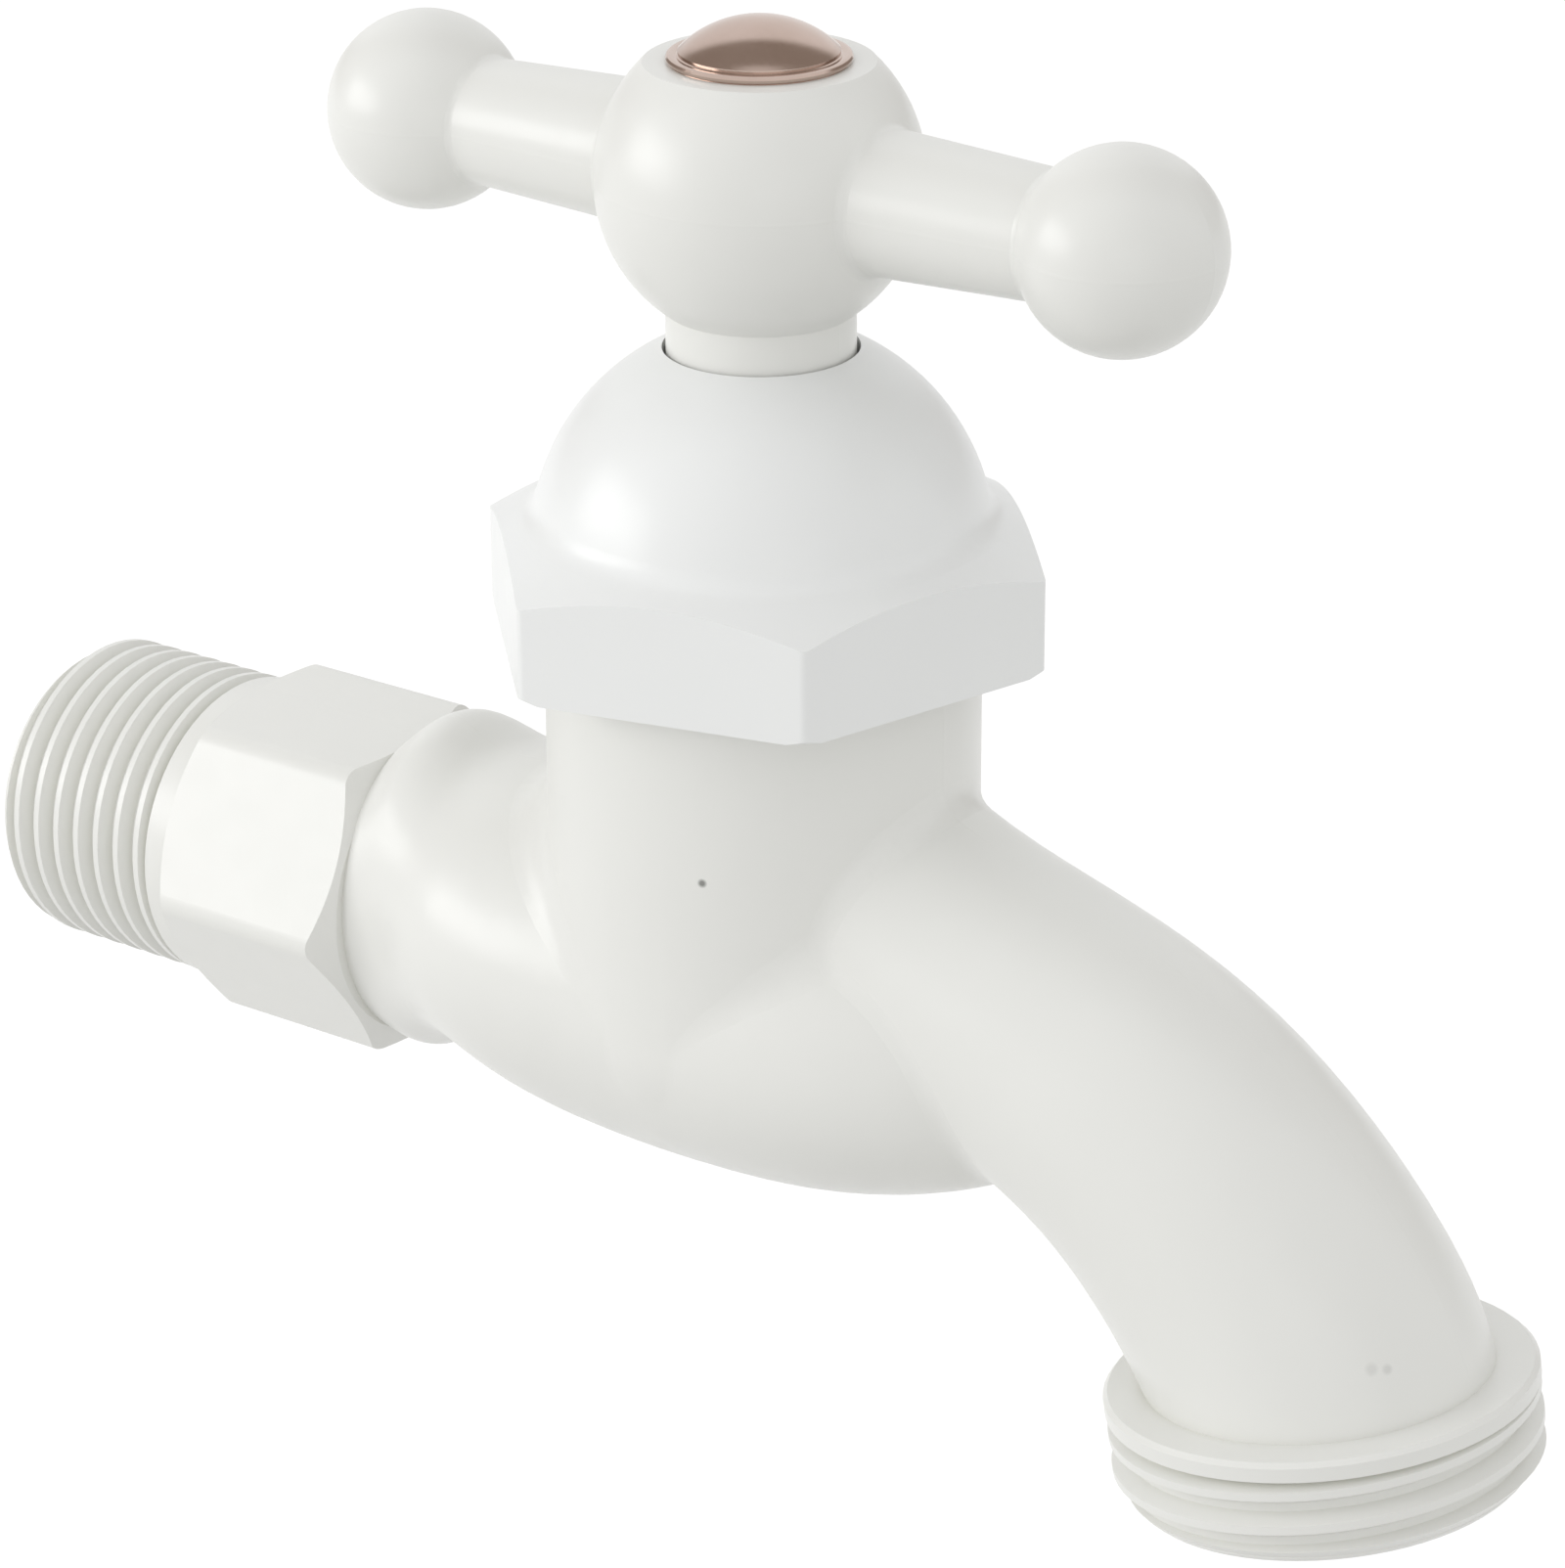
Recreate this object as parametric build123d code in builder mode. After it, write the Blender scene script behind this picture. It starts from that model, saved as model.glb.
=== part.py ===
from build123d import *
from math import acos, asin, cos, degrees, radians, sin, sqrt, tan
import os

os.makedirs("parts", exist_ok=True)

# Garden tap, moulded plastic, with a rising screw-down spindle.
# Frame: origin on the inlet axis at the shoulder between thread and hexagon,
# +X from the wall towards the spout, +Z up, symmetry plane at y = 0.
# All sizes in millimetres. The valve is drawn shut.

# Inlet thread and hexagon
inlet_thread_d = 20.955
inlet_pitch = 1.814
inlet_thread_depth = 1.0
inlet_length = 15.7
inlet_land = 1.6
inlet_rim = 0.3
inlet_bore_d = 12.6
hex_flats = 21.2
hex_length = 15.0
hex_chamfer_angle = 35.0
hex_turn = 5.0
hex_end_d = 20.4
hex_corner_round = 1.6

# Neck: oval sections, each with its run from the one before it
root_lap = 1.4
root_width = 19.2
root_height = 20.2
root_rise = 0.2
crest_run = 2.6
crest_width = 19.2
crest_height = 23.2
crest_rise = 0.7
waist_run = 2.2
waist_width = 20.2
waist_height = 22.8
waist_rise = 1.0
throat_run = 2.2
throat_width = 22.2
throat_height = 20.4
throat_rise = 1.1

# Belly under the valve, oval as well
valve_x = 42.6
shoulder_run = 3.4
shoulder_width = 25.0
shoulder_height = 20.4
shoulder_rise = 1.0
flank_run = 4.6
flank_width = 26.8
flank_height = 21.8
flank_rise = 0.45
back_run = 7.4
back_width = 27.0
back_height = 23.3
belly_offset = 1.6
belly_width = 27.2
belly_height = 23.5
belly_nose = 25.2
nose_narrowing = 1.25
nose_end_angle = 66.0
nose_sections = 5

# Upright valve housing
housing_d = 27.6
housing_top = 23.6
housing_base_depth = 10.8
housing_blend = 4.0
chamber_d = 19.0
chamber_floor = 6.5
seat_bore_d = 10.0
seat_lip_d = 12.8
seat_height = 1.5
pocket_d = 11.6
pocket_bottom = -8.5
pocket_top = 2.2
pocket_bevel = 1.6
seat_lip_bevel = 0.4
inlet_bend_x = 24.0
inlet_drop = 3.0

# Bonnet thread on the housing
bonnet_thread_d = 24.8
bonnet_pitch = 1.5
bonnet_thread_depth = 0.75
bonnet_rim = 0.3
bonnet_neck_height = 7.8

# Spout
spout_root_reach = 6.0
spout_root_z = 9.4
spout_root_angle = -30.0
spout_knee_reach = 18.7
spout_knee_z = 3.7
spout_rise_reach = 28.4
spout_rise_z = -0.5
spout_bend_reach = 35.8
spout_bend_z = -6.3
spout_sink = 3.5
spout_blend = 2.2
spout_root_d = 17.6
spout_end_d = 21.8
spout_wall_root = 4.0
spout_wall_end = 3.4
spout_sections = 7
spout_bore_lead = 2.8

# Hose thread at the outlet
outlet_reach = 43.2
outlet_z = -21.9
outlet_tilt = 9.0
outlet_thread_d = 26.99
outlet_pitch = 2.209
outlet_thread_depth = 1.05
outlet_length = 7.0
outlet_land = 1.2
outlet_bore_d = 15.4
outlet_rim = 0.3

# Bonnet nut
nut_flats = 32.6
nut_gap = 0.5
nut_edge_height = 6.1
nut_chamfer_angle = 30.0
dome_d = 29.2
dome_centre_z = 30.0
nut_hole_clearance = 0.25
nut_cone_height = 2.4
nut_turn = 13.7
nut_bottom_bevel = 0.6
nut_corner_round = 0.6
nut_dome_blend = 2.4

# Stem carrier, its gasket and its packing
gasket_thickness = 0.6
carrier_flange_d = 23.2
carrier_flange_thickness = 2.4
carrier_skirt_length = 9.6
carrier_box_d = 16.6
carrier_box_height = 3.6
box_bore_d = 12.4
box_floor_depth = 0.4
box_clearance = 0.5
carrier_web = 1.0
carrier_bevel = 0.8
washer_thickness = 0.6
packing_bevel = 0.2
packing_height = 2.2
gland_height = 1.5

# Spindle
stem_d = 8.0
screw_d = 10.6
screw_pitch = 2.5
screw_depth = 1.2
screw_crest = 0.8
screw_root = 1.5
lift = 4.0
stop_gap = 0.3
collar_d = 12.0
collar_height = 4.4
square_flats = 5.6
square_bottom = 44.0
square_top = 55.6
square_corner = 0.4
drill_point_angle = 118.0

# Jumper, seat washer and its screw
seat_washer_d = 13.2
seat_washer_thickness = 3.0
jumper_plate_thickness = 2.0
jumper_rim = 0.7
jumper_rim_depth = 1.6
jumper_stem_d = 4.8
jumper_stem_length = 8.0
clip_groove_depth = 0.5
clip_width = 0.8
clip_reach = 0.4
clip_slot_angle = 70.0
clip_height = 5.6
washer_screw_d = 3.0
washer_screw_head_d = 5.4
washer_screw_head = 1.3
washer_screw_length = 7.2
drive_slot_width = 0.8
drive_slot_depth = 0.6
pan_edge = 0.35
screw_tip = 0.7

# Handle
hub_d = 20.4
hub_centre_z = 54.0
hub_top = 61.3
skirt_d = 11.8
skirt_bottom = 38.8
arm_root_d = 9.8
arm_taper = 2.4
ball_d = 12.7
ball_reach = 26.1
hub_blend = 0.8
ball_blend = 0.6
screw_pocket_d = 9.6
screw_pocket_depth = 3.7
handle_screw_d = 4.0
handle_screw_length = 8.0
handle_screw_head_d = 7.2
handle_screw_head = 1.9
lock_washer_d = 6.8
lock_washer_thickness = 0.8

# Index cap
cap_d = 11.4
cap_edge = 0.5
cap_rise = 2.2
cap_wall = 0.8
cap_plug_depth = 1.2

# Fits
running_fit = 0.05
sliding_fit = 0.1
thread_fit = 0.15
contact_gap = 0.05
thread_sink = 0.2
crest_drop = 0.05
ridge_root = 0.86
ridge_tip = 0.24

# Levels worked out from the sizes above
seat_z = chamber_floor + seat_height
neck_top = housing_top + bonnet_neck_height
flange_bottom = neck_top + gasket_thickness
flange_top = flange_bottom + carrier_flange_thickness
box_floor = flange_top - box_floor_depth
box_top = flange_top + carrier_box_height
washer_bottom = seat_z + contact_gap
washer_top = washer_bottom + seat_washer_thickness
plate_top = washer_top + jumper_plate_thickness
spindle_bottom = plate_top + contact_gap
collar_top = spindle_bottom + collar_height
carrier_bottom = collar_top + lift + stop_gap
nut_bottom = housing_top + nut_gap
nut_edge_top = nut_bottom + nut_edge_height
inlet_run = Vector(valve_x - inlet_bend_x, 0, -inlet_drop)

# Planes of the axes
valve_axis = Axis((valve_x, 0, 0), (0, 0, 1))
valve_plane = Plane(origin=(valve_x, 0, 0), x_dir=(1, 0, 0), z_dir=(0, 0, 1))
valve_section = Plane(origin=(valve_x, 0, 0), x_dir=(1, 0, 0), z_dir=(0, -1, 0))
inlet_plane = Plane(origin=(0, 0, 0), x_dir=(0, 1, 0), z_dir=(-1, 0, 0))
inlet_section = Plane(origin=(0, 0, 0), x_dir=(1, 0, 0), z_dir=(0, -1, 0))
outlet_dir = Vector(sin(radians(outlet_tilt)), 0, -cos(radians(outlet_tilt)))
outlet_end = Vector(valve_x + outlet_reach, 0, outlet_z)
outlet_top = outlet_end - outlet_dir * outlet_length
outlet_plane = Plane(origin=outlet_top, x_dir=(0, 1, 0), z_dir=outlet_dir)
outlet_section = Plane(origin=outlet_top, x_dir=outlet_plane.y_dir, z_dir=outlet_plane.x_dir)


def valve_level(height):
    """Plane square to the valve axis at a height above the inlet axis."""
    return Plane(origin=(valve_x, 0, height), x_dir=(1, 0, 0), z_dir=(0, 0, 1))


def helical_ridge(pitch, start, end, core_r, tip_r, root_width, tip_width):
    """Turns of thread about Z, sunk a little into the core that carries them."""
    step = tip_r - core_r
    sink = -thread_sink if step > 0 else thread_sink
    with BuildPart() as ridge:
        with BuildLine():
            turns = Helix(pitch, end - start, core_r, center=(0, 0, start))
        with BuildSketch(Plane(origin=turns @ 0, x_dir=(1, 0, 0), z_dir=turns % 0)):
            Polygon(
                (sink, -root_width / 2),
                (step, -tip_width / 2),
                (step, tip_width / 2),
                (sink, root_width / 2),
                align=None,
            )
        sweep(path=turns, is_frenet=True)
    return ridge.part


def trimmed_thread(ridge, start, end, outer_r, end_r):
    """A ridge cut square at its start and bevelled down to end_r at its end."""
    with BuildPart() as thread:
        add(ridge)
        with BuildSketch(Plane.XZ):
            Polygon(
                (0, start),
                (outer_r, start),
                (outer_r, end - (outer_r - end_r)),
                (end_r, end),
                (0, end),
                align=None,
            )
        revolve(axis=Axis.Z, mode=Mode.INTERSECT)
    return thread.part


# Threads of the body, each along Z until it is placed
inlet_r = inlet_thread_d / 2
inlet_core_r = inlet_r - inlet_thread_depth
inlet_thread = trimmed_thread(
    helical_ridge(
        inlet_pitch,
        inlet_land - inlet_pitch,
        inlet_length + inlet_pitch,
        inlet_core_r,
        inlet_r - crest_drop,
        inlet_pitch * ridge_root,
        inlet_pitch * ridge_tip,
    ),
    inlet_land / 2,
    inlet_length - inlet_rim,
    inlet_r + inlet_thread_depth,
    inlet_core_r - thread_sink / 2,
)
outlet_r = outlet_thread_d / 2
outlet_core_r = outlet_r - outlet_thread_depth
outlet_thread = trimmed_thread(
    helical_ridge(
        outlet_pitch,
        outlet_land - outlet_pitch,
        outlet_length + outlet_pitch,
        outlet_core_r,
        outlet_r - crest_drop,
        outlet_pitch * ridge_root,
        outlet_pitch * ridge_tip,
    ),
    outlet_land / 2,
    outlet_length - outlet_rim,
    outlet_r + outlet_thread_depth,
    outlet_core_r - thread_sink / 2,
)
bonnet_r = bonnet_thread_d / 2
bonnet_core_r = bonnet_r - bonnet_thread_depth
bonnet_thread = trimmed_thread(
    helical_ridge(
        bonnet_pitch,
        housing_top,
        neck_top + bonnet_pitch,
        bonnet_core_r,
        bonnet_r,
        bonnet_pitch * ridge_root,
        bonnet_pitch * ridge_tip,
    ),
    housing_top + nut_gap,
    neck_top - bonnet_rim,
    bonnet_r + bonnet_thread_depth,
    bonnet_core_r - thread_sink / 2,
)

# Spout: round sections along one curve from the housing to the outlet
with BuildLine() as spout_line:
    spout_path = Spline(
        (valve_x + spout_root_reach, 0, spout_root_z),
        (valve_x + spout_knee_reach, 0, spout_knee_z),
        (valve_x + spout_rise_reach, 0, spout_rise_z),
        (valve_x + spout_bend_reach, 0, spout_bend_z),
        outlet_top + outlet_dir * spout_sink,
        tangents=[
            (cos(radians(spout_root_angle)), 0, sin(radians(spout_root_angle))),
            outlet_dir,
        ],
    )


def spout_station(share):
    """Plane square to the spout's curve at a share of its length."""
    return Plane(origin=spout_path @ share, x_dir=(0, 1, 0), z_dir=spout_path % share)


def spout_loft(root_d, end_d, start):
    """A round limb along the rest of the spout's curve, from one diameter to another."""
    with BuildPart() as limb:
        for index in range(spout_sections):
            share = index / (spout_sections - 1)
            with BuildSketch(spout_station(start + (1 - start) * share)):
                Circle((root_d + (end_d - root_d) * share) / 2)
        loft()
    return limb.part


spout_outer = spout_loft(spout_root_d, spout_end_d, 0)
spout_inner = spout_loft(
    spout_root_d - 2 * spout_wall_root,
    spout_end_d - 2 * spout_wall_end,
    spout_bore_lead / spout_path.length,
)

# Body: inlet, hexagon, neck, belly, valve housing, spout and outlet in one moulding
hex_r = hex_flats / 2
hex_corner_r = hex_flats / sqrt(3)
hex_slope = tan(radians(hex_chamfer_angle))
root_x = hex_length - root_lap
crest_x = root_x + crest_run
waist_x = crest_x + waist_run
throat_x = waist_x + throat_run
shoulder_x = throat_x + shoulder_run
flank_x = shoulder_x + flank_run
back_x = flank_x + back_run
belly_x = valve_x + belly_offset
inlet_side_ovals = [
    (root_x, root_width, root_height, root_rise),
    (crest_x, crest_width, crest_height, crest_rise),
    (waist_x, waist_width, waist_height, waist_rise),
    (throat_x, throat_width, throat_height, throat_rise),
    (shoulder_x, shoulder_width, shoulder_height, shoulder_rise),
    (flank_x, flank_width, flank_height, flank_rise),
    (back_x, back_width, back_height, 0),
]
with BuildPart() as body:
    with BuildSketch(Plane.YZ):
        RegularPolygon(hex_r, 6, major_radius=False, rotation=hex_turn)
        fillet(vertices(), hex_corner_round)
    extrude(amount=hex_length)
    with BuildSketch(inlet_section):
        Polygon(
            (0, 0),
            (0, inlet_r),
            ((hex_corner_r - inlet_r) * hex_slope, hex_corner_r),
            (hex_length - (hex_corner_r - hex_end_d / 2) * hex_slope, hex_corner_r),
            (hex_length, hex_end_d / 2),
            (hex_length, 0),
            align=None,
        )
    revolve(axis=Axis.X, mode=Mode.INTERSECT)
    # Neck and belly through their ovals, with a round nose under the spout
    for oval_x, oval_width, oval_height, oval_rise in inlet_side_ovals:
        with BuildSketch(Plane.YZ.offset(oval_x)):
            with Locations((0, oval_rise)):
                Ellipse(oval_width / 2, oval_height / 2)
    for index in range(nose_sections):
        nose_angle = radians(nose_end_angle * index / (nose_sections - 1))
        nose_width = belly_width * cos(nose_angle) ** nose_narrowing
        with BuildSketch(Plane.YZ.offset(belly_x + belly_nose * sin(nose_angle))):
            Ellipse(nose_width / 2, belly_height * cos(nose_angle) / 2)
    loft()
    # Upright housing with a rounded base
    with BuildSketch(valve_section):
        with BuildLine():
            Polyline(
                (0, -housing_base_depth),
                (0, neck_top),
                (bonnet_core_r - bonnet_rim, neck_top),
                (bonnet_core_r, neck_top - bonnet_rim),
                (bonnet_core_r, housing_top),
                (housing_d / 2, housing_top),
                (housing_d / 2, 0),
            )
            EllipticalCenterArc((0, 0), housing_d / 2, housing_base_depth, 270, arc_size=90)
        make_face()
    revolve(axis=valve_axis)
    fillet(edges(Select.NEW), housing_blend)
    add(spout_outer)
    fillet(edges(Select.NEW), spout_blend)
    # Inlet thread core with its plain land beside the hexagon
    with BuildSketch(inlet_section):
        Polygon(
            (0, 0),
            (0, inlet_r),
            (-inlet_land, inlet_r),
            (-inlet_land - inlet_thread_depth / 2, inlet_core_r),
            (-inlet_length + inlet_rim, inlet_core_r),
            (-inlet_length, inlet_core_r - inlet_rim),
            (-inlet_length, 0),
            align=None,
        )
    revolve(axis=Axis.X)
    with Locations(inlet_plane.location):
        add(inlet_thread)
    # Outlet collar and thread core
    with BuildSketch(outlet_section):
        Polygon(
            (0, 0),
            (outlet_r - outlet_rim, 0),
            (outlet_r, outlet_rim),
            (outlet_r, outlet_land),
            (outlet_core_r, outlet_land + outlet_thread_depth / 2),
            (outlet_core_r, outlet_length - outlet_rim),
            (outlet_core_r - outlet_rim, outlet_length),
            (0, outlet_length),
            align=None,
        )
    revolve(axis=Axis(outlet_top, outlet_dir))
    with Locations(outlet_plane.location):
        add(outlet_thread)
    with Locations(valve_plane.location):
        add(bonnet_thread)
    # Waterway: inlet bore, pocket under the seat, port, chamber, spout bore
    with BuildSketch(Plane.YZ.offset(-inlet_length)):
        Circle(inlet_bore_d / 2)
    extrude(amount=inlet_length + inlet_bend_x, mode=Mode.SUBTRACT)
    with BuildSketch(Plane(origin=(inlet_bend_x, 0, 0), x_dir=(0, 1, 0), z_dir=inlet_run)):
        Circle(pocket_d / 2)
    extrude(amount=inlet_run.length, mode=Mode.SUBTRACT)
    with BuildSketch(inlet_section):
        with Locations((inlet_bend_x, 0)):
            Circle(inlet_bore_d / 2)
            Rectangle(inlet_bore_d, inlet_bore_d, align=(Align.CENTER, Align.MAX), mode=Mode.SUBTRACT)
    revolve(axis=Axis.X, mode=Mode.SUBTRACT)
    with BuildSketch(valve_section):
        Polygon(
            (0, pocket_bottom),
            (pocket_d / 2 - pocket_bevel, pocket_bottom),
            (pocket_d / 2, pocket_bottom + pocket_bevel),
            (pocket_d / 2, pocket_top),
            (seat_bore_d / 2, pocket_top + pocket_bevel / 2),
            (seat_bore_d / 2, seat_z),
            (seat_bore_d / 2 + seat_lip_bevel, seat_z),
            (seat_lip_d / 2 - seat_lip_bevel, seat_z),
            (seat_lip_d / 2, seat_z - seat_lip_bevel),
            (seat_lip_d / 2, chamber_floor),
            (chamber_d / 2, chamber_floor),
            (chamber_d / 2, neck_top),
            (0, neck_top),
            align=None,
        )
    revolve(axis=valve_axis, mode=Mode.SUBTRACT)
    add(spout_inner, mode=Mode.SUBTRACT)
    with BuildSketch(outlet_section):
        Rectangle(outlet_bore_d / 2, outlet_length, align=(Align.MIN, Align.MIN))
    revolve(axis=Axis(outlet_top, outlet_dir), mode=Mode.SUBTRACT)
body.part.label = "body"
export_step(body.part, "parts/body.step")

# Bonnet nut: domed hexagon with an inner shoulder that clamps the carrier
nut_r = nut_flats / 2
nut_corner_r = nut_flats / sqrt(3)
nut_slope = tan(radians(nut_chamfer_angle))
dome_r = dome_d / 2
nut_hole_r = skirt_d / 2 + nut_hole_clearance
nut_bore_r = bonnet_r + thread_fit
nut_top = dome_centre_z + sqrt(dome_r**2 - nut_hole_r**2)
cone_top = nut_edge_top + (nut_corner_r - dome_r) * nut_slope
dome_foot_r = sqrt(dome_r**2 - (cone_top - dome_centre_z) ** 2)
box_clear_r = carrier_box_d / 2 + box_clearance
dome_mid = (asin((cone_top - dome_centre_z) / dome_r) + acos(nut_hole_r / dome_r)) / 2
nut_ridge = trimmed_thread(
    helical_ridge(
        bonnet_pitch,
        housing_top - bonnet_pitch / 2,
        neck_top + bonnet_pitch,
        nut_bore_r,
        bonnet_core_r + thread_fit,
        bonnet_pitch * ridge_root - 2 * thread_fit,
        bonnet_pitch * ridge_tip - thread_fit,
    ),
    nut_bottom + bonnet_pitch,
    neck_top,
    nut_bore_r + bonnet_thread_depth,
    nut_bore_r + bonnet_thread_depth / 2,
)
with BuildPart() as bonnet_nut:
    with BuildSketch(valve_level(nut_bottom)):
        RegularPolygon(nut_r, 6, major_radius=False, rotation=nut_turn)
        fillet(vertices(), nut_corner_round)
    extrude(amount=nut_top - nut_bottom)
    with BuildSketch(valve_section):
        with BuildLine():
            Polyline(
                (0, nut_top),
                (0, nut_bottom),
                (nut_corner_r - nut_bottom_bevel, nut_bottom),
                (nut_corner_r, nut_bottom + nut_bottom_bevel * nut_slope),
                (nut_corner_r, nut_edge_top),
                (dome_foot_r, cone_top),
            )
            ThreePointArc(
                (dome_foot_r, cone_top),
                (dome_r * cos(dome_mid), dome_centre_z + dome_r * sin(dome_mid)),
                (nut_hole_r, nut_top),
            )
            Line((nut_hole_r, nut_top), (0, nut_top))
        make_face()
    revolve(axis=valve_axis, mode=Mode.INTERSECT)
    dome_foot = (valve_x, dome_foot_r, cone_top)
    fillet(edges().sort_by_distance(dome_foot)[0], nut_dome_blend)
    with BuildSketch(valve_section):
        Polygon(
            (0, nut_bottom),
            (nut_bore_r + bonnet_thread_depth, nut_bottom),
            (nut_bore_r, nut_bottom + bonnet_thread_depth),
            (nut_bore_r, flange_top),
            (box_clear_r, flange_top),
            (box_clear_r, box_top),
            (nut_hole_r, box_top + nut_cone_height),
            (nut_hole_r, nut_top),
            (0, nut_top),
            align=None,
        )
    revolve(axis=valve_axis, mode=Mode.SUBTRACT)
    with Locations(valve_plane.location):
        add(nut_ridge)
bonnet_nut.part.label = "bonnet_nut"
export_step(bonnet_nut.part, "parts/bonnet_nut.step")

# Stem carrier: flange on the neck, skirt with the coarse screw, packing box
screw_r = screw_d / 2
screw_core_r = screw_r - screw_depth
carrier_bore_r = screw_r + thread_fit
carrier_skirt_r = chamber_d / 2 - sliding_fit
carrier_screw_top = box_floor - carrier_web
screw_top = carrier_screw_top - lift - 2 * stop_gap
carrier_ridge = trimmed_thread(
    helical_ridge(
        screw_pitch,
        collar_top + screw_pitch / 2,
        carrier_screw_top + screw_pitch,
        carrier_bore_r,
        screw_core_r + thread_fit,
        screw_pitch - screw_crest - 2 * thread_fit,
        screw_pitch - screw_root - 2 * thread_fit,
    ),
    carrier_bottom + contact_gap,
    carrier_screw_top - contact_gap,
    carrier_bore_r + screw_depth,
    carrier_bore_r + screw_depth / 2,
)
with BuildPart() as stem_carrier:
    with BuildSketch(valve_section):
        Polygon(
            (screw_core_r + thread_fit, box_floor),
            (screw_core_r + thread_fit, carrier_screw_top),
            (carrier_bore_r, carrier_screw_top),
            (carrier_bore_r, carrier_bottom),
            (carrier_skirt_r - carrier_bevel, carrier_bottom),
            (carrier_skirt_r, carrier_bottom + carrier_bevel),
            (carrier_skirt_r, flange_bottom),
            (carrier_flange_d / 2, flange_bottom),
            (carrier_flange_d / 2, flange_top),
            (carrier_box_d / 2, flange_top),
            (carrier_box_d / 2, box_top),
            (box_bore_d / 2, box_top),
            (box_bore_d / 2, box_floor),
            align=None,
        )
    revolve(axis=valve_axis)
    with Locations(valve_plane.location):
        add(carrier_ridge)
stem_carrier.part.label = "stem_carrier"
export_step(stem_carrier.part, "parts/stem_carrier.step")


def ring(inner_r, outer_r, bottom, top, bevel=0.0):
    """A turned washer or ring about the valve axis, bevelled on its outer edges."""
    with BuildPart() as turned:
        with BuildSketch(valve_section):
            Polygon(
                (inner_r, bottom),
                (outer_r - bevel, bottom),
                (outer_r, bottom + bevel),
                (outer_r, top - bevel),
                (outer_r - bevel, top),
                (inner_r, top),
                align=None,
            )
        revolve(axis=valve_axis)
    return turned.part


# Seals of the carrier and the spindle
stem_r = stem_d / 2
box_fit_r = box_bore_d / 2 - running_fit
packing_bottom = box_floor + washer_thickness
packing_top = packing_bottom + packing_height
gland_top = packing_top + gland_height
seals = {
    "bonnet_gasket": ring(chamber_d / 2, bonnet_core_r, neck_top, flange_bottom),
    "packing_washer": ring(stem_r + sliding_fit, box_fit_r, box_floor, packing_bottom),
    "packing_ring": ring(stem_r + running_fit, box_fit_r, packing_bottom, packing_top, packing_bevel),
    "gland_ring": ring(stem_r + sliding_fit, box_fit_r, packing_top, gland_top, packing_bevel),
}
for name, seal in seals.items():
    seal.label = name
    export_step(seal, f"parts/{name}.step")

# Spindle: stop collar, coarse screw, stem and the square that takes the handle
spindle_ridge = trimmed_thread(
    helical_ridge(
        screw_pitch,
        collar_top - screw_pitch,
        screw_top + screw_pitch,
        screw_core_r,
        screw_r,
        screw_root,
        screw_crest,
    ),
    collar_top - thread_sink,
    screw_top - thread_sink,
    screw_r + screw_depth,
    screw_core_r - thread_sink / 2,
)
jumper_stem_r = jumper_stem_d / 2
socket_r = jumper_stem_r + sliding_fit
drill_slope = tan(radians(90 - drill_point_angle / 2))
stem_top_z = plate_top + jumper_stem_length
clip_z = plate_top + clip_height
clip_inner_r = jumper_stem_r - clip_groove_depth + running_fit
clip_outer_r = jumper_stem_r + clip_reach
with BuildPart() as spindle:
    with BuildSketch(valve_section):
        Polygon(
            (0, spindle_bottom),
            (collar_d / 2 - carrier_bevel, spindle_bottom),
            (collar_d / 2, spindle_bottom + carrier_bevel),
            (collar_d / 2, collar_top),
            (screw_core_r, collar_top),
            (screw_core_r, screw_top),
            (stem_r, screw_top + carrier_bevel),
            (stem_r, square_bottom),
            (0, square_bottom),
            align=None,
        )
    revolve(axis=valve_axis)
    with Locations(valve_plane.location):
        add(spindle_ridge)
    with BuildSketch(valve_level(square_bottom)):
        Rectangle(square_flats, square_flats)
        fillet(vertices(), square_corner)
    extrude(amount=square_top - square_bottom)
    with BuildSketch(valve_section):
        Polygon(
            (0, spindle_bottom),
            (socket_r, spindle_bottom),
            (socket_r, clip_z - sliding_fit),
            (clip_outer_r + sliding_fit, clip_z - sliding_fit),
            (clip_outer_r + sliding_fit, clip_z + clip_width + sliding_fit),
            (socket_r, clip_z + clip_width + sliding_fit),
            (socket_r, stem_top_z + contact_gap),
            (0, stem_top_z + contact_gap + socket_r * drill_slope),
            align=None,
        )
    revolve(axis=valve_axis, mode=Mode.SUBTRACT)
    with BuildSketch(valve_level(square_top)):
        Circle(handle_screw_d / 2 + running_fit)
    extrude(amount=-handle_screw_length, mode=Mode.SUBTRACT)
spindle.part.label = "spindle"
export_step(spindle.part, "parts/spindle.step")

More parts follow.
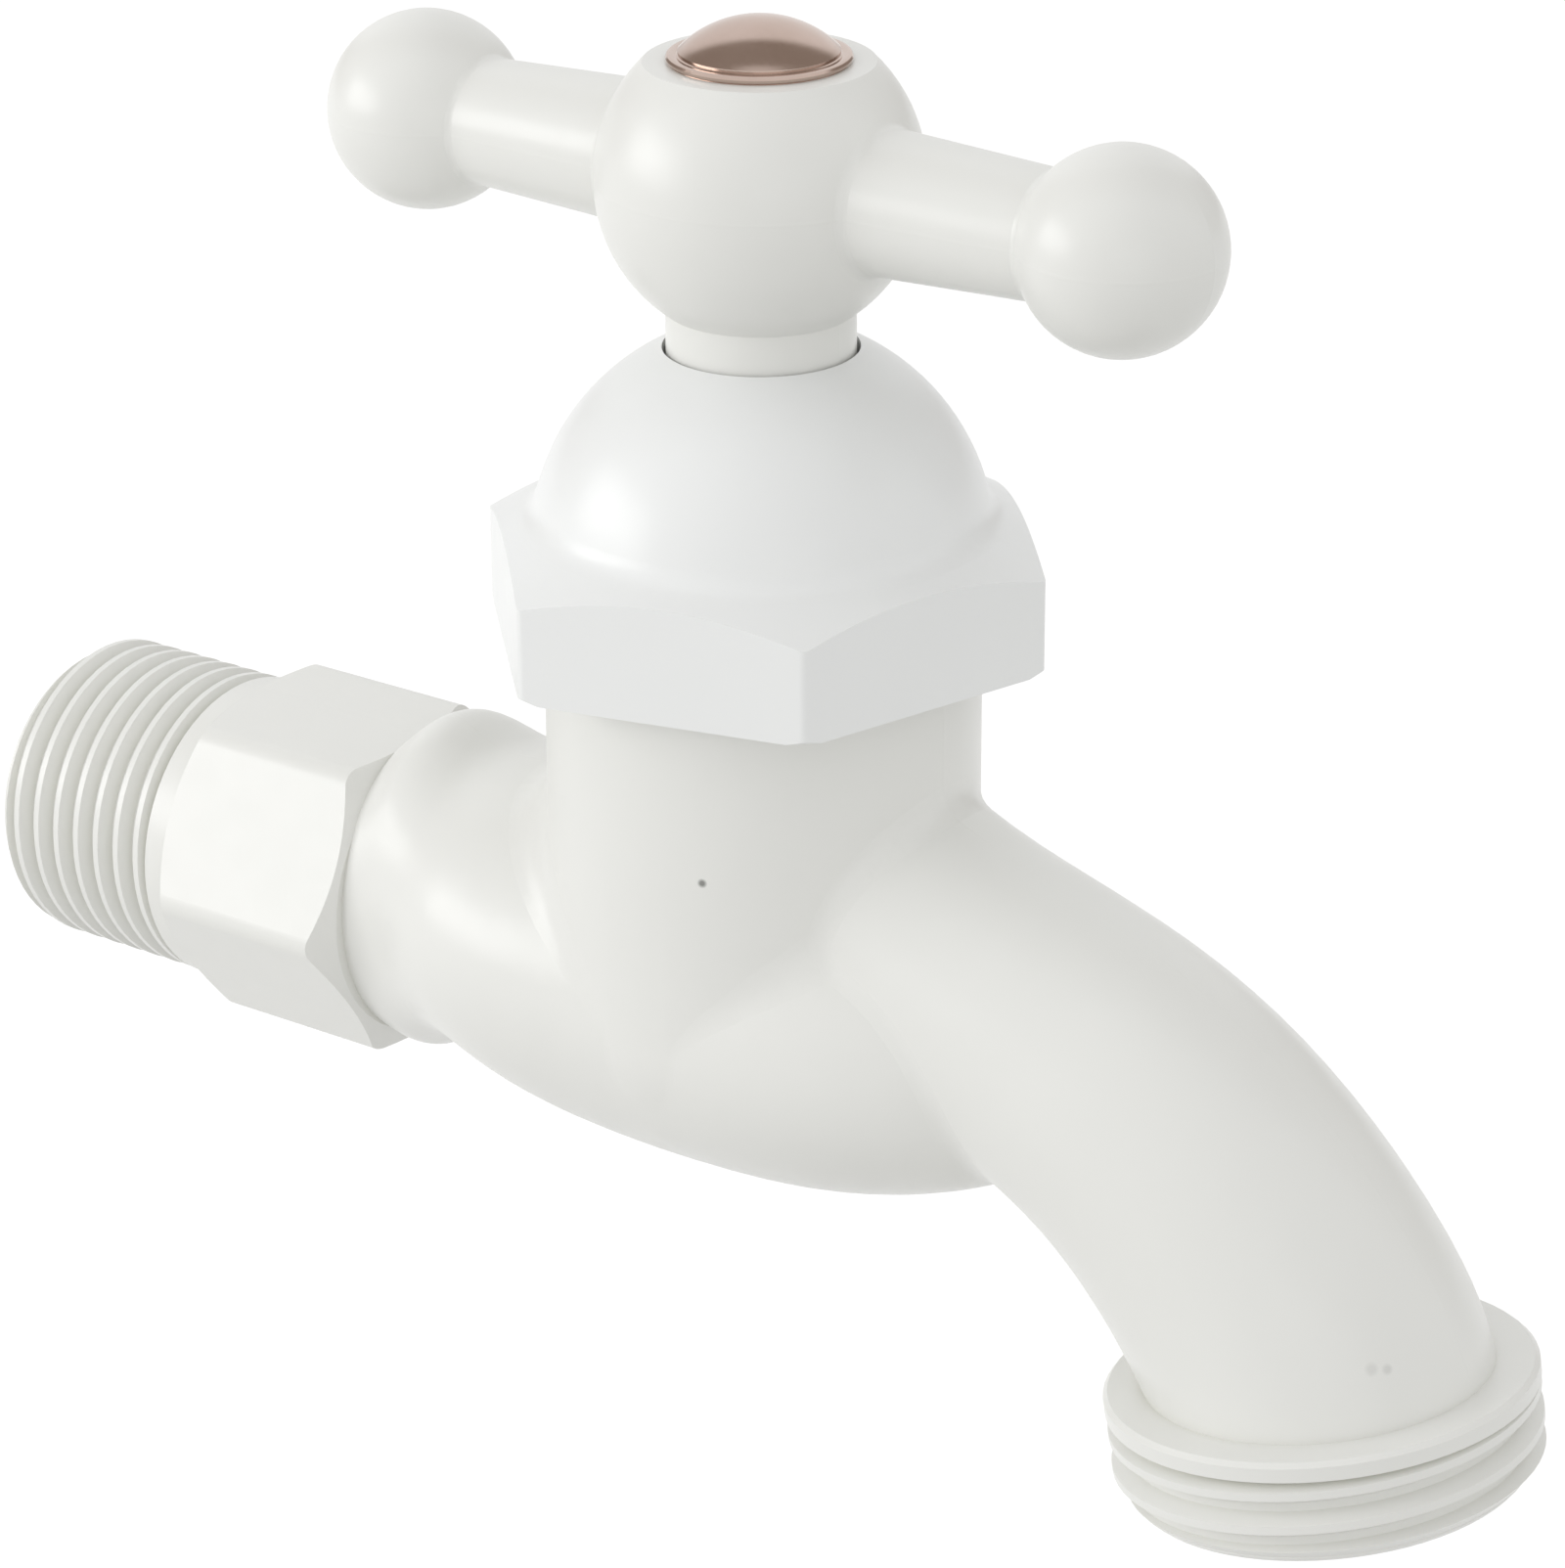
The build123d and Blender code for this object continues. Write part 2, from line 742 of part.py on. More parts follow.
# Jumper: cupped plate that carries the seat washer, with its stem
seat_washer_r = seat_washer_d / 2
rim_r = seat_washer_r + running_fit + jumper_rim
screw_shank_r = washer_screw_d / 2
with BuildPart() as jumper:
    with BuildSketch(valve_section):
        Polygon(
            (0, washer_top),
            (seat_washer_r + running_fit, washer_top),
            (seat_washer_r + running_fit, washer_top - jumper_rim_depth),
            (rim_r, washer_top - jumper_rim_depth),
            (rim_r, plate_top - jumper_rim),
            (rim_r - jumper_rim, plate_top),
            (jumper_stem_r, plate_top),
            (jumper_stem_r, clip_z - running_fit),
            (jumper_stem_r - clip_groove_depth, clip_z - running_fit),
            (jumper_stem_r - clip_groove_depth, clip_z + clip_width + running_fit),
            (jumper_stem_r, clip_z + clip_width + running_fit),
            (jumper_stem_r, stem_top_z - clip_groove_depth),
            (jumper_stem_r - clip_groove_depth, stem_top_z),
            (0, stem_top_z),
            align=None,
        )
    revolve(axis=valve_axis)
    with BuildSketch(valve_level(washer_top)):
        Circle(screw_shank_r + running_fit)
    extrude(amount=washer_screw_length - seat_washer_thickness, mode=Mode.SUBTRACT)
jumper.part.label = "jumper"
export_step(jumper.part, "parts/jumper.step")

# Spring clip that keeps the jumper in the spindle's socket
with BuildPart() as jumper_clip:
    with BuildSketch(valve_level(clip_z)):
        Circle(clip_outer_r)
        Circle(clip_inner_r, mode=Mode.SUBTRACT)
        with BuildLine():
            Polyline(
                (0, 0),
                (2 * clip_outer_r, -2 * clip_outer_r * tan(radians(clip_slot_angle / 2))),
                (2 * clip_outer_r, 2 * clip_outer_r * tan(radians(clip_slot_angle / 2))),
                close=True,
            )
        make_face(mode=Mode.SUBTRACT)
    extrude(amount=clip_width)
jumper_clip.part.label = "jumper_clip"
export_step(jumper_clip.part, "parts/jumper_clip.step")

# Rubber seat washer and the screw that holds it
seat_washer = ring(
    screw_shank_r + running_fit, seat_washer_r, washer_bottom, washer_top, seat_lip_bevel
)
seat_washer.label = "seat_washer"
export_step(seat_washer, "parts/seat_washer.step")


def pan_screw(shank_r, length, head_r, head):
    """A slotted pan-head screw along Z, its head above z = 0 and its shank below."""
    edge = head * pan_edge
    with BuildPart() as screw:
        with BuildSketch(Plane.XZ):
            with BuildLine():
                Polyline(
                    (0, head),
                    (0, -length),
                    (shank_r * screw_tip, -length),
                    (shank_r, -length + shank_r * (1 - screw_tip)),
                    (shank_r, 0),
                    (head_r, 0),
                    (head_r, edge),
                )
                EllipticalCenterArc((0, edge), head_r, head - edge, 0, arc_size=90)
            make_face()
        revolve(axis=Axis.Z)
        with BuildSketch(Plane.XY.offset(head)):
            Rectangle(2 * head_r, drive_slot_width)
        extrude(amount=-drive_slot_depth, mode=Mode.SUBTRACT)
    return screw.part


washer_screw_seat = Plane(origin=(valve_x, 0, washer_bottom), x_dir=(1, 0, 0), z_dir=(0, 0, -1))
with BuildPart() as washer_screw:
    with Locations(washer_screw_seat.location):
        add(
            pan_screw(
                screw_shank_r,
                washer_screw_length - sliding_fit,
                washer_screw_head_d / 2,
                washer_screw_head,
            )
        )
washer_screw.part.label = "washer_screw"
export_step(washer_screw.part, "parts/washer_screw.step")

# Handle: round hub with two tapered arms, balls and a skirt into the nut
hub_r = hub_d / 2
skirt_r = skirt_d / 2
ball_r = ball_d / 2
top_r = sqrt(hub_r**2 - (hub_top - hub_centre_z) ** 2)
pocket_floor = hub_top - screw_pocket_depth
hub_centre = Vector(valve_x, 0, hub_centre_z)
with BuildPart() as handle:
    with BuildSketch(valve_section):
        with BuildLine():
            Polyline(
                (0, hub_top),
                (0, skirt_bottom),
                (skirt_r, skirt_bottom),
                (skirt_r, hub_centre_z - sqrt(hub_r**2 - skirt_r**2)),
            )
            ThreePointArc(
                (skirt_r, hub_centre_z - sqrt(hub_r**2 - skirt_r**2)),
                (hub_r, hub_centre_z),
                (top_r, hub_top),
            )
            Line((top_r, hub_top), (0, hub_top))
        make_face()
    revolve(axis=valve_axis)
    for side in (1, -1):
        with BuildSketch(Plane(origin=hub_centre, x_dir=(0, 1, 0), z_dir=(side, 0, 0))):
            Circle(arm_root_d / 2)
        extrude(amount=ball_reach, taper=arm_taper)
        fillet(edges(Select.NEW).sort_by_distance(hub_centre)[0], hub_blend)
        with Locations(hub_centre + Vector(side * ball_reach, 0, 0)):
            Sphere(ball_r)
        fillet(edges(Select.NEW), ball_blend)
    with BuildSketch(valve_level(hub_top)):
        Circle(screw_pocket_d / 2)
    extrude(amount=-screw_pocket_depth, mode=Mode.SUBTRACT)
    with BuildSketch(valve_level(skirt_bottom)):
        Circle(stem_r + sliding_fit)
    extrude(amount=square_bottom + contact_gap - skirt_bottom, mode=Mode.SUBTRACT)
    with BuildSketch(valve_level(square_bottom)):
        Rectangle(square_flats + 2 * running_fit, square_flats + 2 * running_fit)
    extrude(amount=square_top + sliding_fit - square_bottom, mode=Mode.SUBTRACT)
    with BuildSketch(valve_level(pocket_floor)):
        Circle(handle_screw_d / 2 + sliding_fit)
    extrude(amount=-(pocket_floor - square_top), mode=Mode.SUBTRACT)
handle.part.label = "handle"
export_step(handle.part, "parts/handle.step")

# Handle screw with its lock washer
lock_washer = ring(
    handle_screw_d / 2 + sliding_fit,
    lock_washer_d / 2,
    pocket_floor,
    pocket_floor + lock_washer_thickness,
)
lock_washer.label = "lock_washer"
export_step(lock_washer, "parts/lock_washer.step")
with BuildPart() as handle_screw:
    with Locations(valve_level(pocket_floor + lock_washer_thickness).location):
        add(
            pan_screw(
                handle_screw_d / 2,
                handle_screw_length,
                handle_screw_head_d / 2,
                handle_screw_head,
            )
        )
handle_screw.part.label = "handle_screw"
export_step(handle_screw.part, "parts/handle_screw.step")

# Index cap: shallow dome with a plug that snaps into the hub
cap_r = cap_d / 2
cap_plug_r = screw_pocket_d / 2 - running_fit
dome_base = hub_top + cap_edge
cap_dome_r = (cap_r**2 + cap_rise**2) / (2 * cap_rise)
cap_dome_angle = degrees(acos(cap_r / cap_dome_r))
with BuildPart() as index_cap:
    with BuildSketch(valve_section):
        with BuildLine():
            Polyline(
                (0, dome_base + cap_rise - cap_wall),
                (cap_plug_r - cap_wall, dome_base - cap_wall / 2),
                (cap_plug_r - cap_wall, hub_top - cap_plug_depth),
                (cap_plug_r, hub_top - cap_plug_depth),
                (cap_plug_r, hub_top),
                (cap_r, hub_top),
                (cap_r, dome_base),
            )
            CenterArc(
                (0, dome_base + cap_rise - cap_dome_r),
                cap_dome_r,
                cap_dome_angle,
                90 - cap_dome_angle,
            )
            Line((0, dome_base + cap_rise), (0, dome_base + cap_rise - cap_wall))
        make_face()
    revolve(axis=valve_axis)
index_cap.part.label = "index_cap"
export_step(index_cap.part, "parts/index_cap.step")
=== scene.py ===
import logging
import math
from collections.abc import Iterable, Mapping
from dataclasses import dataclass
from enum import Enum

import bmesh
import bpy
from mathutils import Matrix, Vector


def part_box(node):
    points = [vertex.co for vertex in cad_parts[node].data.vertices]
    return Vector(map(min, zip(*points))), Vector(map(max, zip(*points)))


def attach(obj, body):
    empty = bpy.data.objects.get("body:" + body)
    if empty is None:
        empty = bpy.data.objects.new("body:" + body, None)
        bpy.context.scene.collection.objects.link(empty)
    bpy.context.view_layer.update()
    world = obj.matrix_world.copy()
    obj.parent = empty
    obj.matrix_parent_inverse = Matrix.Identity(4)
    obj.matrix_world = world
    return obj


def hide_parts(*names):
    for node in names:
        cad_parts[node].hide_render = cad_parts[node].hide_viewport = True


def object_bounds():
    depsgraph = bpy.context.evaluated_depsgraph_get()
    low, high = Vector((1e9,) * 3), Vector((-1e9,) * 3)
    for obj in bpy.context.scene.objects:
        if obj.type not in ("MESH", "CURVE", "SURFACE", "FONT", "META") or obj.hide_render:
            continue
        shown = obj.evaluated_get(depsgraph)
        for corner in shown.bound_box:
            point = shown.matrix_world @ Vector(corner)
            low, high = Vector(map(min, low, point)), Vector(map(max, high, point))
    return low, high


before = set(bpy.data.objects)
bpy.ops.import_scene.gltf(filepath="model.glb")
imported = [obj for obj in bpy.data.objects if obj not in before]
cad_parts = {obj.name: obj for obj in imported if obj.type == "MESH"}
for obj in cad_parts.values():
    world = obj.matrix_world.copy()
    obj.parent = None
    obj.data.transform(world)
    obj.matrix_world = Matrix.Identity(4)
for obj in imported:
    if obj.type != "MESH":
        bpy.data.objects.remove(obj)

cad_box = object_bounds()
log = logging.getLogger("garden_tap")

MM = 0.001
HANDLE_BODY = "handle_group"

# The sRGB standard's curve: a straight foot and a power above it.
SRGB_FOOT = 0.04045
SRGB_FOOT_SLOPE = 12.92
SRGB_OFFSET = 0.055
SRGB_POWER = 2.4

# The Mix node has a set of sockets for each type of data; these are its colour ones.
COLOUR_MIX = {"data_type": "RGBA"}
MIX_SHARE, MIX_UNDER, MIX_OVER = 0, 6, 7
MIX_RESULT = 2
WHITE = (1.0, 1.0, 1.0, 1.0)

# The wave texture counts this many radians to the unit at a scale of one.
WAVE_RADIANS = 20

WELD_MM = 0.001
SHARP_DEGREES = 38.0


class Mould(Enum):
    """Which way a moulding's two halves part, as the coordinate that is level on the joint."""

    UPRIGHT = "Y"
    LEVEL = "Z"
    NONE = ""


def linear(code: str) -> tuple[float, float, float, float]:
    """Turn an sRGB hex colour into the linear values that the shaders take.

    Args:
        code: The colour as six hex digits.

    Returns:
        Red, green, blue and an alpha of one.
    """
    shares = [int(code[place : place + 2], 16) / 255 for place in (0, 2, 4)]
    bent = [
        share / SRGB_FOOT_SLOPE
        if share <= SRGB_FOOT
        else ((share + SRGB_OFFSET) / (1 + SRGB_OFFSET)) ** SRGB_POWER
        for share in shares
    ]
    return (bent[0], bent[1], bent[2], 1.0)


def add_node(
    tree: bpy.types.NodeTree,
    kind: str,
    settings: Mapping[str, object] | None = None,
    values: Mapping[str | int, object] | None = None,
    links: Mapping[str | int, bpy.types.NodeSocket] | None = None,
) -> bpy.types.Node:
    """Add a node to a tree with its settings, socket values and links.

    Args:
        tree: The tree that gets the node.
        kind: The node's type name without its ShaderNode prefix.
        settings: Properties of the node itself.
        values: Values of its input sockets.
        links: Output sockets that feed its input sockets.

    Returns:
        The new node.
    """
    node = tree.nodes.new("ShaderNode" + kind)
    for name, value in (settings or {}).items():
        setattr(node, name, value)
    for socket, value in (values or {}).items():
        node.inputs[socket].default_value = value
    for socket, source in (links or {}).items():
        tree.links.new(source, node.inputs[socket])
    return node


def new_material(name: str) -> tuple[bpy.types.Material, bpy.types.NodeTree]:
    """Make a material with an empty node tree.

    Args:
        name: The material's name.

    Returns:
        The material and its tree.
    """
    material = bpy.data.materials.new(name)
    material.use_nodes = True
    material.node_tree.nodes.clear()
    return material, material.node_tree


def per_metre(millimetres: float) -> float:
    """Work out a pattern's scale from the size of its features.

    Args:
        millimetres: The distance between two features.

    Returns:
        How many of them go in a metre.
    """
    return 1 / (millimetres * MM)


@dataclass(frozen=True)
class Speck:
    """A dark grain that was caught in the plastic, or a faint mark of the mould.

    Attributes:
        place: Where it lies on the surface, in millimetres.
        radius: Its size in millimetres.
        cover: How much of the white it hides.
        core: The share of its radius that it covers in full; from there it fades out.
    """

    place: tuple[float, float, float]
    radius: float
    cover: float
    core: float = 0.4


@dataclass(frozen=True)
class MouldedPlastic:
    """White injection-moulded plastic with a soft gloss.

    The eye sees a broad, dull highlight and a hardly visible ripple where the
    polished mould was not quite flat. The thread roots and other narrow grooves
    get painted shade, a darker tone mixed in where ambient occlusion finds them closed in.

    Attributes:
        name: The material's name.
        colour: Its colour as sRGB hex.
        shade: The slightly darker colour of its mottling.
        painted_groove_shade: Painted shade: the darker colour mixed into narrow grooves.
        roughness: Roughness of the polished mould's surface.
        mould: The plane on which the two halves of the mould met.
        joint_level: The level of that plane in millimetres.
        specks: Dark grains in the surface.
        ior: Refractive index of the plastic.
        smoother: How far the roughness falls where the mould was polished best.
        rougher: How far it rises where the mould was polished least.
        mottling_mm: Size of the clouds in its colour.
        ripple_mm: Distance between the ripples.
        ripple_height_mm: Height of the ripples.
        polish_per_ripple: How many times finer the polish varies than the ripple.
        grain_mm: Size of the surface's fine grain.
        grain_height_mm: Height of that grain.
        groove_mm: How wide a groove may be to darken.
        groove_open: How open a place is where its tone starts and ends to darken.
        groove_rays: Rays that test how open a place is.
        joint_width_mm: Half the width of the ridge where the mould parted.
        joint_height_mm: Height of that ridge.
        speck_colour: The colour of the dark grains.
    """

    name: str
    colour: str
    shade: str
    painted_groove_shade: str
    roughness: float
    mould: Mould = Mould.NONE
    joint_level: float = 0.0
    specks: tuple[Speck, ...] = ()
    ior: float = 1.5
    smoother: float = 0.035
    rougher: float = 0.045
    mottling_mm: float = 14.0
    ripple_mm: float = 7.0
    ripple_height_mm: float = 0.05
    polish_per_ripple: float = 3.0
    grain_mm: float = 0.5
    grain_height_mm: float = 0.001
    # groove_mm: How wide a groove may be to get painted shade.         groove_open: How open a place is where its painted shade starts and ends.
    groove_mm: float = 1.1
    groove_open: tuple[float, float] = (0.72, 0.3)
    groove_rays: int = 6
    joint_width_mm: float = 0.2
    joint_height_mm: float = 0.008
    speck_colour: str = "4A4A44"

    def material(self) -> bpy.types.Material:
        """Build the plastic's nodes.

        Returns:
            The material.
        """
        material, tree = new_material(self.name)
        place = add_node(tree, "TexCoord").outputs["Object"]
        colour = self.colour_socket(tree, place)
        height = self.height_socket(tree, place)
        polish = add_node(
            tree,
            "TexNoise",
            values={
                "Scale": per_metre(self.ripple_mm / self.polish_per_ripple),
                "Detail": 4.0,
                "Roughness": 0.6,
            },
            links={"Vector": place},
        ).outputs["Fac"]
        rough = add_node(
            tree,
            "MapRange",
            values={
                "From Min": 0.3,
                "From Max": 0.7,
                "To Min": self.roughness - self.smoother,
                "To Max": self.roughness + self.rougher,
            },
            links={"Value": polish},
        ).outputs["Result"]
        bump = add_node(
            tree,
            "Bump",
            values={"Strength": 1.0, "Distance": 1.0},
            links={"Height": height},
        ).outputs["Normal"]
        shader = add_node(
            tree,
            "BsdfPrincipled",
            values={"IOR": self.ior, "Metallic": 0.0},
            links={"Base Color": colour, "Roughness": rough, "Normal": bump},
        )
        add_node(tree, "OutputMaterial", links={"Surface": shader.outputs["BSDF"]})
        return material

    def colour_socket(
        self, tree: bpy.types.NodeTree, place: bpy.types.NodeSocket
    ) -> bpy.types.NodeSocket:
        """Mix the mottling, the painted shade in the grooves and the specks.

        Args:
            tree: The material's tree.
            place: The object coordinates.

        Returns:
            The colour socket.
        """
        cloud = add_node(
            tree,
            "TexNoise",
            values={"Scale": per_metre(self.mottling_mm), "Detail": 3.0, "Roughness": 0.5},
            links={"Vector": place},
        ).outputs["Fac"]
        mixed = add_node(
            tree,
            "Mix",
            settings=COLOUR_MIX,
            values={MIX_UNDER: linear(self.colour), MIX_OVER: linear(self.shade)},
            links={MIX_SHARE: cloud},
        ).outputs[MIX_RESULT]
        # Painted shade: grooves that ambient occlusion finds closed in are darkened towards the
        # groove shade colour.
        open_share = add_node(
            tree,
            "AmbientOcclusion",
            settings={"samples": self.groove_rays, "only_local": True},
            values={"Distance": self.groove_mm * MM},
        ).outputs["AO"]
        start, end = self.groove_open
        depth = add_node(
            tree,
            "MapRange",
            values={"From Min": start, "From Max": end, "To Min": 0.0, "To Max": 1.0},
            links={"Value": open_share},
        ).outputs["Result"]
        mixed = add_node(
            tree,
            "Mix",
            settings=COLOUR_MIX,
            values={MIX_OVER: linear(self.painted_groove_shade)},
            links={MIX_SHARE: depth, MIX_UNDER: mixed},
        ).outputs[MIX_RESULT]
        for speck in self.specks:
            mixed = self.with_speck(tree, place, mixed, speck)
        return mixed

    def with_speck(
        self,
        tree: bpy.types.NodeTree,
        place: bpy.types.NodeSocket,
        colour: bpy.types.NodeSocket,
        speck: Speck,
    ) -> bpy.types.NodeSocket:
        """Lay one dark grain over a colour.

        Args:
            tree: The material's tree.
            place: The object coordinates.
            colour: The colour under the grain.
            speck: The grain.

        Returns:
            The colour with the grain in it.
        """
        away = add_node(
            tree,
            "VectorMath",
            settings={"operation": "DISTANCE"},
            values={1: tuple(x * MM for x in speck.place)},
            links={0: place},
        ).outputs["Value"]
        cover = add_node(
            tree,
            "MapRange",
            values={
                "From Min": speck.radius * MM,
                "From Max": speck.radius * MM * speck.core,
                "To Min": 0.0,
                "To Max": speck.cover,
            },
            links={"Value": away},
        ).outputs["Result"]
        return add_node(
            tree,
            "Mix",
            settings=COLOUR_MIX,
            values={MIX_OVER: linear(self.speck_colour)},
            links={MIX_SHARE: cover, MIX_UNDER: colour},
        ).outputs[MIX_RESULT]

    def height_socket(
        self, tree: bpy.types.NodeTree, place: bpy.types.NodeSocket
    ) -> bpy.types.NodeSocket:
        """Add up the ripple, the grain and the line where the mould parted.

        Args:
            tree: The material's tree.
            place: The object coordinates.

        Returns:
            The height in metres.
        """
        ripple = add_node(
            tree,
            "TexNoise",
            values={"Scale": per_metre(self.ripple_mm), "Detail": 1.0},
            links={"Vector": place},
        ).outputs["Fac"]
        height = add_node(
            tree,
            "Math",
            settings={"operation": "MULTIPLY"},
            values={1: self.ripple_height_mm * MM},
            links={0: ripple},
        ).outputs["Value"]
        grain = add_node(
            tree,
            "TexNoise",
            values={"Scale": per_metre(self.grain_mm), "Detail": 2.0},
            links={"Vector": place},
        ).outputs["Fac"]
        height = add_node(
            tree,
            "Math",
            settings={"operation": "MULTIPLY_ADD"},
            values={1: self.grain_height_mm * MM},
            links={0: grain, 2: height},
        ).outputs["Value"]
        if self.mould is Mould.NONE:
            return height
        level = add_node(tree, "SeparateXYZ", links={"Vector": place}).outputs[self.mould.value]
        away = add_node(
            tree,
            "Math",
            settings={"operation": "SUBTRACT"},
            values={1: self.joint_level * MM},
            links={0: level},
        ).outputs["Value"]
        away = add_node(
            tree, "Math", settings={"operation": "ABSOLUTE"}, links={0: away}
        ).outputs["Value"]
        ridge = add_node(
            tree,
            "MapRange",
            settings={"interpolation_type": "SMOOTHSTEP"},
            values={
                "From Min": 0.0,
                "From Max": self.joint_width_mm * MM,
                "To Min": self.joint_height_mm * MM,
                "To Max": 0.0,
            },
            links={"Value": away},
        ).outputs["Result"]
        return add_node(
            tree, "Math", settings={"operation": "ADD"}, links={0: height, 1: ridge}
        ).outputs["Value"]


@dataclass(frozen=True)
class Metal:
    """A plated, turned or drawn metal.

    The eye sees its colour in the reflections, broken by fine scratches or by
    the rings that a lathe tool leaves.

    Attributes:
        name: The material's name.
        colour: The colour of its reflections as sRGB hex.
        tarnish: The colour where it has dulled.
        roughness: Roughness of the bare surface.
        ring_mm: The tool's feed, or nought where the piece was not turned.
        ring_height_mm: Height of the tool rings.
        cloud_mm: Size of the dulled patches.
        scratch_mm: Size of the scratched places.
        scratched: How many times rougher the most scratched place is.
    """

    name: str
    colour: str
    tarnish: str
    roughness: float
    ring_mm: float = 0.0
    ring_height_mm: float = 0.004
    cloud_mm: float = 3.0
    scratch_mm: float = 0.35
    scratched: float = 1.8

    def material(self) -> bpy.types.Material:
        """Build the metal's nodes.

        Returns:
            The material.
        """
        material, tree = new_material(self.name)
        place = add_node(tree, "TexCoord").outputs["Object"]
        cloud = add_node(
            tree,
            "TexNoise",
            values={"Scale": per_metre(self.cloud_mm), "Detail": 4.0},
            links={"Vector": place},
        ).outputs["Fac"]
        colour = add_node(
            tree,
            "Mix",
            settings=COLOUR_MIX,
            values={MIX_UNDER: linear(self.colour), MIX_OVER: linear(self.tarnish)},
            links={MIX_SHARE: cloud},
        ).outputs[MIX_RESULT]
        scratch = add_node(
            tree,
            "TexNoise",
            values={"Scale": per_metre(self.scratch_mm), "Detail": 5.0, "Roughness": 0.7},
            links={"Vector": place},
        ).outputs["Fac"]
        rough = add_node(
            tree,
            "MapRange",
            values={
                "From Min": 0.35,
                "From Max": 0.75,
                "To Min": self.roughness,
                "To Max": self.roughness * self.scratched,
            },
            links={"Value": scratch},
        ).outputs["Result"]
        shader = add_node(
            tree,
            "BsdfPrincipled",
            values={"Metallic": 1.0},
            links={"Base Color": colour, "Roughness": rough},
        )
        if self.ring_mm:
            # The rings run round the upright axis that all turned pieces share. Real ones
            # are too fine to show, so a wave is drawn for each 2 pi times the tool's feed.
            rings = add_node(
                tree,
                "TexWave",
                settings={"wave_type": "BANDS", "bands_direction": "Z"},
                values={
                    "Scale": per_metre(self.ring_mm) / WAVE_RADIANS,
                    "Distortion": 0.4,
                    "Detail": 1.0,
                },
                links={"Vector": place},
            ).outputs["Fac"]
            bump = add_node(
                tree,
                "Bump",
                values={"Strength": 1.0, "Distance": self.ring_height_mm * MM},
                links={"Height": rings},
            ).outputs["Normal"]
            tree.links.new(bump, shader.inputs["Normal"])
        add_node(tree, "OutputMaterial", links={"Surface": shader.outputs["BSDF"]})
        return material


@dataclass(frozen=True)
class SoftSeal:
    """Rubber, packing or pressed fibre: a dull seal with a grain of its own.

    The eye sees hardly any highlight, and a fine, uneven grain in the tone.

    Attributes:
        name: The material's name.
        colour: Its colour as sRGB hex.
        fleck: The colour of its grains or fibres.
        roughness: Roughness of its surface.
        grain_mm: Size of the grain.
        grain_height_mm: Height of the grain.
        stretch: How much longer a fibre is than it is thick; the fibres lie level.
        ior: Refractive index of the seal.
    """

    name: str
    colour: str
    fleck: str
    roughness: float
    grain_mm: float
    grain_height_mm: float
    stretch: float = 1.0
    ior: float = 1.5

    def material(self) -> bpy.types.Material:
        """Build the seal's nodes.

        Returns:
            The material.
        """
        material, tree = new_material(self.name)
        place = add_node(tree, "TexCoord").outputs["Object"]
        laid = add_node(
            tree,
            "Mapping",
            values={"Scale": (1.0, 1.0, self.stretch)},
            links={"Vector": place},
        ).outputs["Vector"]
        grain = add_node(
            tree,
            "TexNoise",
            values={"Scale": per_metre(self.grain_mm), "Detail": 4.0, "Roughness": 0.65},
            links={"Vector": laid},
        ).outputs["Fac"]
        share = add_node(
            tree,
            "MapRange",
            values={"From Min": 0.45, "From Max": 0.75, "To Min": 0.0, "To Max": 1.0},
            links={"Value": grain},
        ).outputs["Result"]
        colour = add_node(
            tree,
            "Mix",
            settings=COLOUR_MIX,
            values={MIX_UNDER: linear(self.colour), MIX_OVER: linear(self.fleck)},
            links={MIX_SHARE: share},
        ).outputs[MIX_RESULT]
        bump = add_node(
            tree,
            "Bump",
            values={"Strength": 1.0, "Distance": self.grain_height_mm * MM},
            links={"Height": grain},
        ).outputs["Normal"]
        shader = add_node(
            tree,
            "BsdfPrincipled",
            values={"Roughness": self.roughness, "IOR": self.ior},
            links={"Base Color": colour, "Normal": bump},
        )
        add_node(tree, "OutputMaterial", links={"Surface": shader.outputs["BSDF"]})
        return material


Finish = MouldedPlastic | Metal | SoftSeal


def dress(node: str, finish: Finish) -> None:
    """Give a CAD piece a finish.

    Args:
        node: The piece's name.
        finish: The finish that it gets.
    """
    made = bpy.data.materials.get(finish.name) or finish.material()
    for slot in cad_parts[node].material_slots:
        slot.material = made
    log.info("%s: %s", node, finish.name)


def axis_of(node: str) -> tuple[float, float]:
    """Find the middle of a CAD piece in plan, which is its axis where it is round.

    Args:
        node: The piece's name.

    Returns:
        X and Y in metres.
    """
    low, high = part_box(node)
    return (low.x + high.x) / 2, (low.y + high.y) / 2


